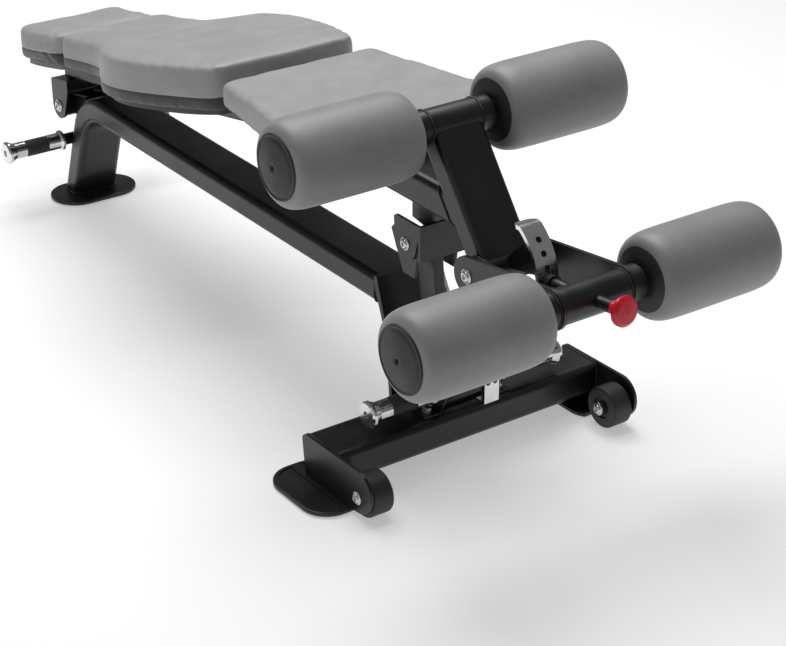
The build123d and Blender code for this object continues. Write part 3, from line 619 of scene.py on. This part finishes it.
def welds():  # a rippled bead round each welded joint, a hair outside the part it runs round
    look = {"Pitch": 0.0022, "Length": 0.0042, "Width": 0.0052, "Height": 0.0040, "Rings": 6}
    off = {"postFoot": 0.0954, "uprightHalf": 0.0256}
    hair = 0.0006
    rise = (middle("upper_cross_tube") - middle("arm_bolt")).normalized()  # the upright's own direction
    back = Vector((0, rise.z, -rise.y))
    halfway = (middle("upper_cross_tube") + middle("arm_bolt")) / 2
    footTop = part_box("rear_foot_plate")[1][2] + hair
    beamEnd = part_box("main_beam")[0][1] + hair
    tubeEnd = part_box("base_tube")[1][0] - hair
    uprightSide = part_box("upright")[1][0] + hair
    armInside = min(abs(v.co.x) for v in nodes["arm_plates"].data.vertices) - hair
    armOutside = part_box("arm_plates")[1][0] + hair
    across = (1, 0, 0)
    sides = (-1, 1)
    seams = {
        "base_frame": [("main_beam", (0, 0, footTop), (0, 0, 1)), ("main_beam", (0, beamEnd, 0), (0, 1, 0)),
                       ("post", (0, 0, off["postFoot"]), (0, 0, 1))],
        "pad_frame": [("seat_tube", halfway + back * off["uprightHalf"], back)],
        "swing_arm": [("lower_cross_tube", (side * x, 0, 0), across) for side in sides
                      for x in (armInside, armOutside)],
    }
    for side in sides:
        seams["base_frame"].append(("base_tube", (side * tubeEnd, 0, 0), across))
        seams["pad_frame"] += [(node, (side * uprightSide, 0, 0), across)
                               for node in ("upper_cross_tube", "arm_pivot_sleeve")]
    for body, places in seams.items():
        loops = [sliced(nodes[node], Vector(point), Vector(normal)) for node, point, normal in places]
        mesh = beads.grow("welds", loopMesh(loops), **look)
        pieceFrom(f"{body}_welds", mesh, body, "frame_paint")
    print("welds:", sum(len(v) for v in seams.values()))


def gripRibs():  # fine moulded rings on the rubber grips
    look = {"Pitch": 0.0040, "Bead": 0.0007}
    for bar, body in (("lift_bar", "base_frame"), ("release_bar", "release_lever")):
        points = np.array([v.co[:] for v in nodes[f"{bar}_grips"].data.vertices])
        start, end = np.abs(points[:, 0]).min(), np.abs(points[:, 0]).max()
        low, high = points.min(axis=0), points.max(axis=0)
        radius = (high[2] - low[2]) / 2
        count = int((end - start) / look["Pitch"]) - 1
        mesh = ribs.grow("ribs", bpy.data.meshes.new("seed"), Count=count, Radius=float(radius), **look)
        centre = Vector((0, (low[1] + high[1]) / 2, (low[2] + high[2]) / 2))
        for vertex in mesh.vertices:
            vertex.co += centre + Vector((start + look["Pitch"], 0, 0))
        both = joined("ribs", [cleaned(mesh), flipped(mesh)])
        pieceFrom(f"{bar}_ribs", both, body, "black_rubber")
    print("grip ribs: 4 grips")


def plug(name, node, point, normal, body):  # crowned plastic plug in an open tube end
    outline = sliced(nodes[node], Vector(point), Vector(normal))
    out = Vector(normal).normalized()
    centre = sum(outline, Vector()) / len(outline)
    shapes = ((0.0006, 1.0), (0.0022, 1.0), (0.0034, 0.985), (0.0042, 0.94), (0.0050, 0.75), (0.0054, 0.40))
    points = [centre + (v - centre) * size + out * rise for rise, size in shapes for v in outline]
    n = len(outline)
    faces = [(k * n + i, k * n + (i + 1) % n, (k + 1) * n + (i + 1) % n, (k + 1) * n + i)
             for k in range(len(shapes) - 1) for i in range(n)]
    faces += [tuple(range(n))[::-1], tuple(range((len(shapes) - 1) * n, len(shapes) * n))]
    pieceFrom(name, cleaned(meshOf(name, points, faces)), body, "black_plastic")


def plugs():
    inside = 0.0005                                 # the outline is read just inside the tube's end
    for name, node in (("seatTubePlug", "seat_tube"), ("backTubePlug", "back_tube")):
        plug(name, node, (0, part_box(node)[1][1] - inside, 0), (0, 1, 0), "pad_frame")
    print("plugs: 2")


def stage():
    look = {"azimuth": -35.3, "elevation": 27.1, "distance": 3.5488, "target": (-0.136, -0.489, 0.2725),
            "lens": 97.9, "floor": 0.70, "glow": 0.39, "sky": 0.17, "key": 145.0,
            "side": 6.0, "wall": 0.90}
    floor = bpy.data.objects.new("floor", meshOf("floor", [(-9, -9, 0), (9, -9, 0), (9, 9, 0), (-9, 9, 0)],
                                                 [(0, 1, 2, 3)]))
    bpy.context.scene.collection.objects.link(floor)
    ground = Paint("floorPaint")
    drift = ground.ramp(ground.noise(0.8), 0.3, 0.7)
    tone = ground.blend(drift, grey(look["floor"]), grey(look["floor"] * 0.985))
    glow = {"Emission_Color": grey(1.0), "Emission_Strength": look["glow"]}
    floor.data.materials.append(ground.shader(tone, 0.6, **glow))
    aim = (0, -0.2, 0.3)
    lamps = (("keyLight", (0.4, 1.0, 3.6), 3.0, look["key"]),
             ("sideLight", (-3.4, -1.6, 1.6), 2.6, look["side"]))
    for name, place, size, power in lamps:
        light = bpy.data.lights.new(name, "AREA")
        light.shape = "SQUARE"
        light.size = size
        light.energy = power
        lamp = bpy.data.objects.new(name, light)
        lamp.location = place
        lamp.rotation_euler = (Vector(aim) - Vector(place)).to_track_quat("-Z", "Y").to_euler()
        bpy.context.scene.collection.objects.link(lamp)
    world = bpy.data.worlds.new("studio")
    bpy.context.scene.world = world
    world.use_nodes = True
    world.node_tree.nodes.clear()
    sky = Tree(world.node_tree)
    dome = sky.make("ShaderNodeBackground", {}, {"Color": grey(1.0), "Strength": look["sky"]})
    wall = sky.make("ShaderNodeBackground", {}, {"Color": grey(1.0), "Strength": look["wall"]})
    seen = sky.make("ShaderNodeLightPath", out="Is Camera Ray")  # a pale wall that doesn't light the bench
    both = sky.make("ShaderNodeMixShader", {}, {0: seen, 1: dome, 2: wall})
    sky.make("ShaderNodeOutputWorld", {}, {0: both})
    bpy.context.scene.view_settings.view_transform = "Standard"
    camera = bpy.data.cameras.new("camera")
    camera.lens = look["lens"]
    camera.sensor_width = 36.0
    camera.clip_end = 60.0
    eye = bpy.data.objects.new("camera", camera)
    a, e = math.radians(look["azimuth"]), math.radians(look["elevation"])
    back = Vector((math.sin(a) * math.cos(e), -math.cos(a) * math.cos(e), math.sin(e)))
    eye.location = Vector(look["target"]) + back * look["distance"]
    eye.rotation_euler = (-back).to_track_quat("-Z", "Y").to_euler()
    bpy.context.scene.collection.objects.link(eye)
    bpy.context.scene.camera = eye
    print("stage and camera")


stage()
rollers()
pads()
bolts()
welds()
gripRibs()
plugs()
